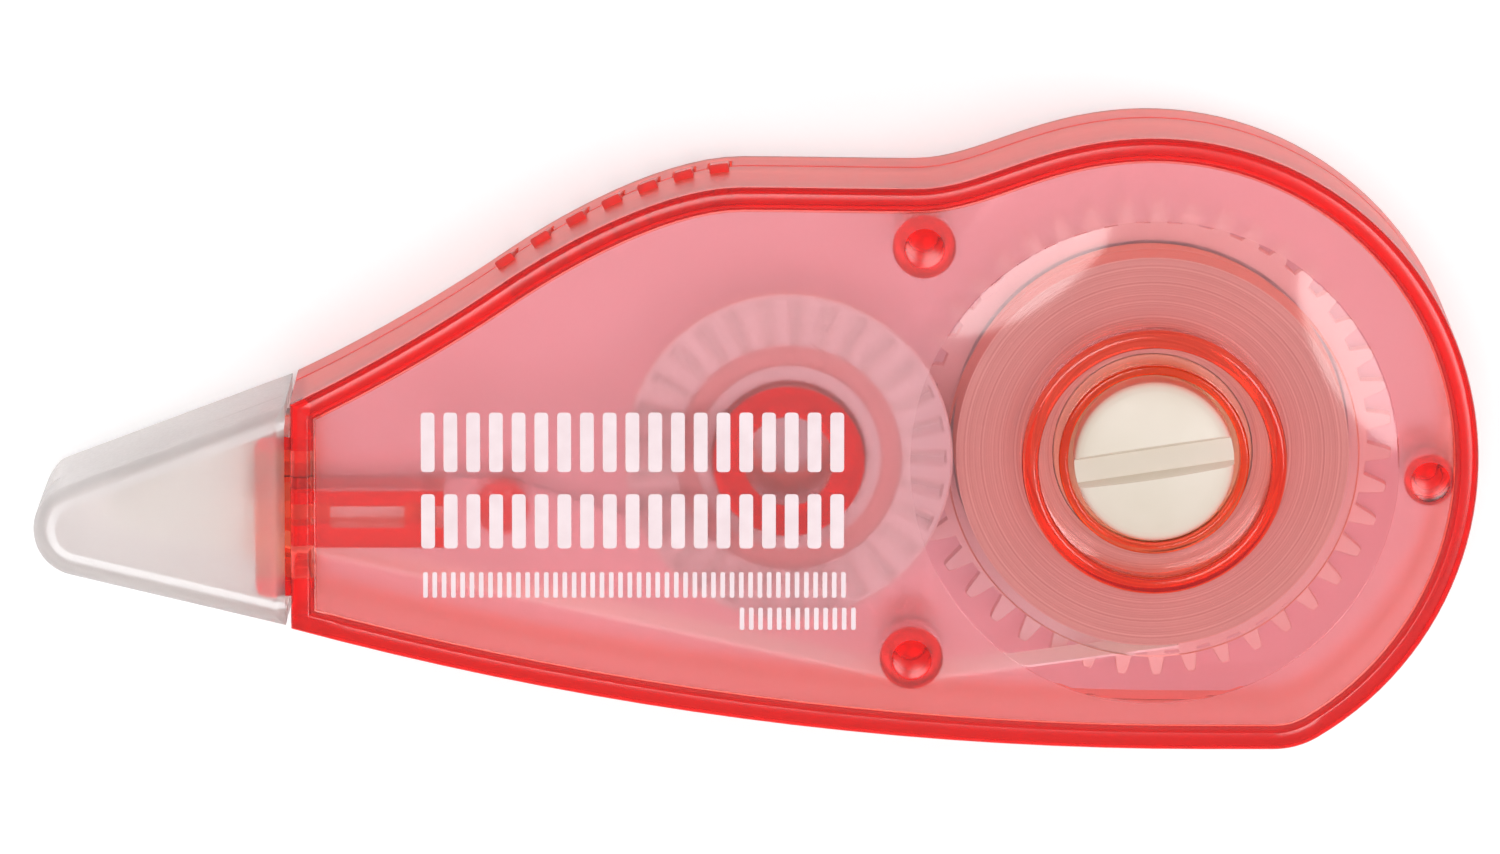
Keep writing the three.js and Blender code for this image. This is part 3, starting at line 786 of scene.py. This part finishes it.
def nose_cap():
    """A hollow cap in two steps, whose back half is longer than its domed front."""
    front, back = cap_outline([CAP_TIP]), cap_outline([CAP_BACK_TIP, CAP_TIP])
    tip_x, tip_y, tip_r = CAP_TIP
    wall, drop = 0.8, 1.1
    room = belt([(-49.5, 2.91, 0), (tip_x, tip_y, tip_r - wall), (-49.5, -9.1, 0)])
    lower = [(inset(back, 0.55), 0.0), (inset(back, 0.18), 0.16), (back, 0.55)]
    lower += [(back, CAP_LEDGE - 0.2), (inset(back, 0.15), CAP_LEDGE)]
    upper = [(inset(front, 0.02), CAP_LEDGE - 0.6), (inset(front, 0.02), FRONT - drop)]
    for k in range(1, 6):
        angle = math.pi / 2 * k / 5
        away = 0.02 + 0.85 * (1 - math.cos(angle))
        upper.append((inset(front, away), FRONT - drop + drop * math.sin(angle)))
    cap = combine(loft(lower), "UNION", [loft(upper)])
    space = [(inset(room, 0.3), wall), (room, 1.1), (room, FRONT - 1.4), (inset(room, 0.5), FRONT - 0.85)]
    combine(cap, "DIFFERENCE", [loft(space)])
    painted(cap, [CAP])
    return finish(cap, "cap", "cap", ["nose_cap"])


def head():
    """The wedge that presses the tape down, between two guide plates on a flat stem."""
    tape_low, tape_high = levels("tape_web")
    low, high = tape_low - 0.15, tape_high + 0.15
    thick = 0.6
    plate = belt([(HEAD_X, 0.9, 0), (-60.1, -2.1, 0.6), (-60.1, -3.9, 0.6), (HEAD_X, -6.2, 0)])
    wedge = [Vector((HEAD_X, -1.75))] + arc(EDGE_X, EDGE_Y, EDGE_R, math.pi / 2, 1.5 * math.pi, 8)
    wedge += [Vector((HEAD_X, -4.85))]
    body = slab(wedge, low - 0.1, high + 0.1)
    plates = [slab(plate, low - thick, low, 0.12), slab(plate, high, high + thick, 0.12)]
    stem = box(*STEM, low - thick, high + thick, 0.15)
    combine(body, "UNION", plates + [stem])
    painted(body, [HEAD])
    return finish(body, "head", "casing", ["applicator_head"])


# ------------------------------------------------------------------ reels


def gear_outline(teeth, pointing):
    """Straight-flanked teeth, with a tooth at the angle that the gear points."""
    tip, root = GEAR_MODULE * (teeth + 2) / 2, GEAR_MODULE * (teeth - 2.5) / 2
    pitch = 2 * math.pi / teeth
    tooth = [(root, -0.30), (root + 0.35, -0.255), (tip - 0.3, -0.165), (tip, -0.105)]
    tooth += [(r, -share) for r, share in tooth[::-1]]
    points = []
    for i in range(teeth):
        for r, share in tooth:
            a = pointing + (i + share) * pitch
            points.append(Vector((r * math.cos(a), r * math.sin(a))))
    return points


def gear(name, teeth, pointing, barrel, top, body, axis):
    """A toothed wheel with a raised rim and a barrel. barrel is its inner and outer radius."""
    low = levels(name)[0]
    high = low + GEAR_THICKNESS
    wheel = slab(gear_outline(teeth, pointing), low, high, 0.08)
    inner, outer = barrel
    boss, rim, web = outer + 0.9, GEAR_MODULE * teeth / 2 - 1.9, high - 0.3
    corners = [(boss, web, 0.1), (rim, web, 0.1), (rim, high + 1, 0), (boss, high + 1, 0)]
    dish = lathe(rounded(corners))
    combine(wheel, "DIFFERENCE", [dish, disc(outer - 0.2, low - 1, high + 1, segments=96)])
    tube = lathe(rounded([(inner, low, 0.1), (outer, low, 0), (outer, top, 0.12), (inner, top, 0.12)]))
    combine(wheel, "UNION", [tube])
    painted(wheel, [GEAR])
    return finish(wheel, name + "_wheel", body, [name], axis)


def supply_reel():
    """The driving gear, and on its barrel the core with the clutch, the roll, the flange and the knob."""
    top = levels("supply_gear")[1]
    gear("supply_gear", 43, math.pi, SUPPLY_BARREL, top, "supply_drive", SUPPLY)
    low, high = levels("tape_roll")
    bore, knob_bore, shoulder = 3.26, 4.0, 7.6
    groove_r, groove_low, groove_high = 4.2, 4.3, 5.7
    corners = [(bore, low, 0.1), (CORE_R, low, 0.1), (CORE_R, high, 0.1), (knob_bore, high, 0.1)]
    corners += [(knob_bore, shoulder, 0), (bore, shoulder, 0.1), (bore, groove_high, 0)]
    corners += [(groove_r, groove_high, 0.1), (groove_r, groove_low, 0.1), (bore, groove_low, 0)]
    core = painted(lathe(rounded(corners, 3)), [CORE])
    finish(core, "supply_core", "tape_spool", ["tape_core"])

    ring = arc(CLUTCH_R, CLUTCH_Z, CLUTCH_WIRE, 0.0, 2 * math.pi, 20)[:-1]
    finish(painted(lathe(ring), [RUBBER]), "clutch", "tape_spool", ["clutch_ring"])

    outer = radius("tape_roll")
    layers, inner = 36, CORE_R + 0.05
    face = []
    for k in range(layers + 1):
        r = outer - (outer - inner) * k / layers
        face.append((r, high - 0.03 + 0.03 * math.sin(2.1 * k) * math.sin(0.7 * k)))
    under = [(inner, low), (outer, low)]
    roll = painted(lathe(under + face, segments=192), [TAPE])
    finish(roll, "wound_tape", "tape_spool", ["tape_roll"])

    low, high = levels("supply_flange")
    reach = radius("supply_flange")
    corners = [(4.1, low, 0.1), (reach, low, 0.15), (reach, high, 0.15), (4.1, high, 0.1)]
    flange = painted(lathe(rounded(corners, 3), segments=192), [CLEAR])
    finish(flange, "clear_flange", "tape_spool", ["supply_flange"])
    tension_knob()


def tension_knob():
    """A domed knob with a wide slot that runs out at both ends and widens upwards."""
    low, high = levels("tension_knob")
    shaft_r, reach, head_foot = 3.95, 4.65, 9.2
    side_top, crown_foot = 11.85, 12.32
    corners = [(0, low, 0), (shaft_r, low, 0.15), (shaft_r, head_foot, 0)]
    corners += [(reach, head_foot, 0.15), (reach, side_top, 0)]
    turns = (0.3, 0.7, 1.1, 1.4)
    shoulder = [(reach - 0.55 + 0.55 * math.cos(a), side_top + 0.45 * math.sin(a)) for a in turns]
    crown = []
    for k in range(7):
        rise = math.sin(math.pi / 2 * k / 6)
        crown.append((4.1 * (1 - k / 6), crown_foot + (high - crown_foot) * rise))
    knob = lathe(rounded(corners, 3) + shoulder + crown, segments=128)
    along = Vector((math.cos(SLOT_TURN), math.sin(SLOT_TURN)))
    across = Vector((-along.y, along.x))
    half_long, signs = 7, ((-1, -1), (1, -1), (1, 1), (-1, 1))
    slot = []
    for z, half_wide in ((high - 1.05, 0.66), (high, 0.98), (high + 1, 1.28)):
        slot.append(([half_long * a * along + half_wide * b * across for a, b in signs], z))
    combine(knob, "DIFFERENCE", [loft(slot)])
    painted(knob, [KNOB])
    return finish(knob, "knob", "tape_spool", ["tension_knob"], bevel=0.2)


def take_up_reel():
    """The take-up gear and its barrel, the used backing, and the fluted flange in front of it."""
    top = levels("take_up_gear")[1]
    gear("take_up_gear", 25, math.pi / 25, TAKE_UP_BARREL, top, "take_up_reel", TAKE_UP)
    low, high = levels("take_up_pack")
    outer = radius("take_up_pack")
    face = [(outer - 0.85 * k / 8, high - 0.03 * (k % 2)) for k in range(9)]
    pack = painted(lathe([(5.45, low), (outer, low)] + face), [PACK])
    finish(pack, "used_backing", "take_up_reel", ["take_up_pack"], TAKE_UP)

    low, high = levels("take_up_flange")
    reach = radius("take_up_flange")

    def flute(r, z, angle):
        """How far a point of the flange's face is raised, which is below zero in a flute."""
        if z < high - 0.05 or not 6.8 < r < 9.2:
            return 0.0
        return -0.5 * (0.5 + 0.5 * math.cos(FLUTES * angle)) ** 4

    top_rings = [reach - 0.12, 9.25, 9.1, 8.9, 8.0, 7.2, 6.95, 6.8, 6.6]
    inner, outer = TAKE_UP_BARREL
    profile = [(inner, low), (reach, low), (reach, high - 0.1)] + [(r, high) for r in top_rings]
    profile += [(6.5, low + 0.2), (5.5, low + 0.2), (outer, high), (inner + 0.1, high)]
    flange = lathe(profile, segments=12 * FLUTES, rise=flute)
    painted(flange, [MILKY])
    finish(flange, "fluted_flange", "take_up_reel", ["take_up_flange"], TAKE_UP)


def ribbon(name, circles, thickness, paint, stands_for=()):
    """Tape along the line tangent to circles, as a thin closed strip."""
    middle = belt(circles, 0.2)
    sides = []
    for sign in (1, -1):
        side = []
        for i, p in enumerate(middle):
            along = (middle[min(i + 1, len(middle) - 1)] - middle[max(i - 1, 0)]).normalized()
            side.append(p + sign * thickness / 2 * Vector((-along.y, along.x)))
        sides.append(side)
    low, high = levels("tape_web")
    strip = painted(slab(sides[1] + sides[0][::-1], low, high), [paint])
    return finish(strip, name, "casing", stands_for)


def tape_run():
    """The white tape from the roll to the head, and the clear backing from the head to its reel."""
    # The middle of the tape stands off what it runs round.
    stand = 0.16
    roll, tip = radius("tape_roll") + stand, EDGE_R + stand
    x, y, _, outer = PINS[1]
    post_x, post_y, post_r, _ = GUIDE_POST
    feed = [(0, 0, -roll), (x, y, -outer - stand), (HEAD_X, -5.17, 0)]
    feed += [(EDGE_X, EDGE_Y, -tip), (EDGE_X, EDGE_Y + tip, 0)]
    ribbon("feed_tape", feed, 0.12, RIBBON, ["tape_web"])
    back = [(EDGE_X + 0.1, EDGE_Y + tip, 0), (HEAD_X, -1.43, 0), (post_x, post_y, -post_r - stand)]
    back += [(TAKE_UP_X, 0, radius("take_up_pack") + stand)]
    ribbon("return_liner", back, 0.08, LINER)


# ------------------------------------------------------------------ print

INK_LOW, INK_HIGH = PANEL_Z + 0.005, PANEL_Z + 0.03


def print_rows():
    """Four bands of plain upright bars in white ink. They are not letters."""
    # Each band's name, its left end, length, top and bottom, and the width and gap of its bars.
    bands = [
        ("title", -42.6, 25.6, 3.0, -0.5, 0.80, 0.52),
        ("subtitle", -42.6, 24.6, -1.8, -5.0, 0.80, 0.52),
        ("note", -42.5, 25.1, -6.4, -7.9, 0.27, 0.27),
        ("measure", -24.1, 6.8, -8.5, -9.8, 0.27, 0.27),
    ]
    for name, left, length, top, bottom, width, gap in bands:
        bars = []
        for i in range(int((length + gap) / (width + gap))):
            x = left + i * (width + gap)
            bar = rectangle(x, x + width, bottom, top, 0.3 * width)
            bars.append(slab(bar, INK_LOW, INK_HIGH))
        first = bars[0]
        with bpy.context.temp_override(active_object=first, selected_editable_objects=bars):
            bpy.ops.object.join()
        finish(painted(first, [INK]), "print_" + name, "casing")


# ------------------------------------------------------------------ the object

outline = casing_outline()
front_shell(outline)
back_shell(outline)
nose_cap()
head()
supply_reel()
take_up_reel()
tape_run()
print_rows()


# ------------------------------------------------------------------ floor, light and camera


def floor():
    bpy.ops.mesh.primitive_plane_add(size=8.0, location=(0, 0, -0.00005))
    card = bpy.context.object
    card.name = "floor"
    card.data.materials.append(floor_card())


def soft_box(name, across, up, spread, radiance):
    """A round soft light two metres up. across, up and spread are slopes from the origin."""
    height = 2.0
    data = bpy.data.lights.new(name, "AREA")
    data.shape = "DISK"
    data.size = 2 * spread * height
    data.energy = radiance * math.pi * math.pi * (spread * height) ** 2
    made = bpy.data.objects.new(name, data)
    made.location = height * Vector((across, up, 1.0))
    made.rotation_euler = (-made.location).to_track_quat("-Z", "Y").to_euler()
    bpy.context.scene.collection.objects.link(made)


def studio():
    """An even white room, brighter at the horizon, and two soft boxes that the window mirrors."""
    world = bpy.data.worlds.new("studio")
    bpy.context.scene.world = world
    world.use_nodes = True
    nodes, links = world.node_tree.nodes, world.node_tree.links
    place = nodes.new("ShaderNodeTexCoord").outputs["Generated"]
    split = nodes.new("ShaderNodeSeparateXYZ")
    links.new(place, split.inputs[0])
    ramp = nodes.new("ShaderNodeValToRGB")
    horizon, zenith = ramp.color_ramp.elements
    horizon.position = 0.0
    horizon.color = (1.0, 1.0, 1.0, 1)
    zenith.position = 0.8
    zenith.color = (0.56, 0.56, 0.57, 1)
    links.new(split.outputs["Z"], ramp.inputs[0])
    links.new(ramp.outputs[0], nodes["Background"].inputs["Color"])
    nodes["Background"].inputs["Strength"].default_value = 1.28
    soft_box("left_box", -0.077, 0.016, 0.12, 8.5)
    soft_box("right_box", 0.250, -0.060, 0.13, 8.5)


def camera():
    """A long lens, tilted a little so that the upper side wall shows."""
    data = bpy.data.cameras.new("camera")
    distance, width_in_view = 0.65, 0.08696
    tilt = math.radians(9.4)
    data.sensor_width = 36.0
    data.lens = data.sensor_width * distance / width_in_view
    data.clip_start, data.clip_end = 0.05, 20.0
    made = bpy.data.objects.new("camera", data)
    target = Vector((-0.0003, 0.0011, FRONT * MM))
    made.location = target + distance * Vector((0, math.sin(tilt), math.cos(tilt)))
    made.rotation_euler = (-tilt, 0, 0)
    bpy.context.scene.collection.objects.link(made)
    bpy.context.scene.camera = made


floor()
studio()
camera()

scene = bpy.context.scene
scene.view_settings.view_transform = "Standard"
scene.cycles.use_denoising = True
scene.cycles.use_light_tree = False
scene.cycles.blur_glossy = 0.0
scene.cycles.max_bounces = 24
scene.cycles.transmission_bounces = 24
scene.cycles.diffuse_bounces = 4
